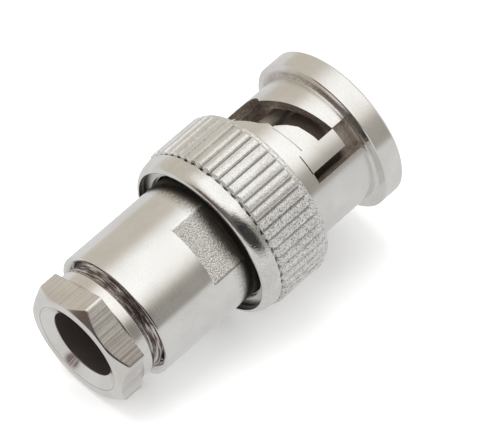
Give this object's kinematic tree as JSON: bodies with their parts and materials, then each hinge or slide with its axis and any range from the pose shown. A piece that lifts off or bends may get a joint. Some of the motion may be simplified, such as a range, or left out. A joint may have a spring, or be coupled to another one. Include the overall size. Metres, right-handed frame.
{
  "type": "clamp bnc cable plug",
  "caption": "Coaxial bayonet cable plug: slotted coupling with knurled grip, plug body with wrench flats, and a hexagonal gland nut that clamps the cable.",
  "frame": {"origin": "centre of the coupling's flat mating face, on the plug's axis", "axes": "+Z along the plug's axis from the mating face to the cable end; -Y is the side with the wrench flat and the bayonet ramp that the picture shows"},
  "size_m": [0.0144, 0.0144, 0.0279],
  "materials": {
    "coupling_nickel": "nickel plated, turned smooth, cast grain on the knurl",
    "body_nickel": "nickel plated, turned smooth, cast grain on the wrench flat",
    "nut_nickel": "nickel plated, milled hexagon",
    "spring_steel": "bright spring steel",
    "gold_plate": "gold plated",
    "ptfe": "turned white resin",
    "rubber": "moulded rubber"
  },
  "bodies": {
    "plug_body": {"body_shell": "body_nickel", "outer_contact": "body_nickel", "front_seal": "rubber", "insulator_front": "ptfe", "insulator_rear": "ptfe", "center_pin": "gold_plate", "braid_clamp": "body_nickel", "cable_gasket": "rubber", "wave_washer_front": "spring_steel", "wave_washer_rear": "spring_steel"},
    "thrust_washer": {"thrust_washer": "spring_steel"},
    "coupling": {"coupling_sleeve": "coupling_nickel", "retaining_ring": "spring_steel"},
    "slip_washer": {"slip_washer": "body_nickel"},
    "gland_nut": {"gland_nut": "nut_nickel"}
  },
  "joints": [
    {"name": "coupling_slide", "type": "slide", "parent": "plug_body", "child": "thrust_washer", "axis": [0, 0, -1], "range_m": [0, 0.0005], "stiffness_N_per_m": 2000, "springref_m": -0.0005, "deforming": ["wave_washer_front", "wave_washer_rear"]},
    {"name": "coupling_spin", "type": "hinge", "parent": "thrust_washer", "child": "coupling", "pos_m": [0, 0, 0.008], "axis": [0, 0, 1], "continuous": true},
    {"name": "gland_advance", "type": "slide", "parent": "plug_body", "child": "slip_washer", "axis": [0, 0, 1], "range_m": [-0.0011, 0.00175]},
    {"name": "gland_turn", "type": "hinge", "parent": "slip_washer", "child": "gland_nut", "pos_m": [0, 0, 0.026], "axis": [0, 0, 1], "range_deg": [-528, 840]}
  ],
  "couplings": [
    {"joint": "gland_turn", "follows": "gland_advance", "rad_per_m": 8377.5}
  ]
}
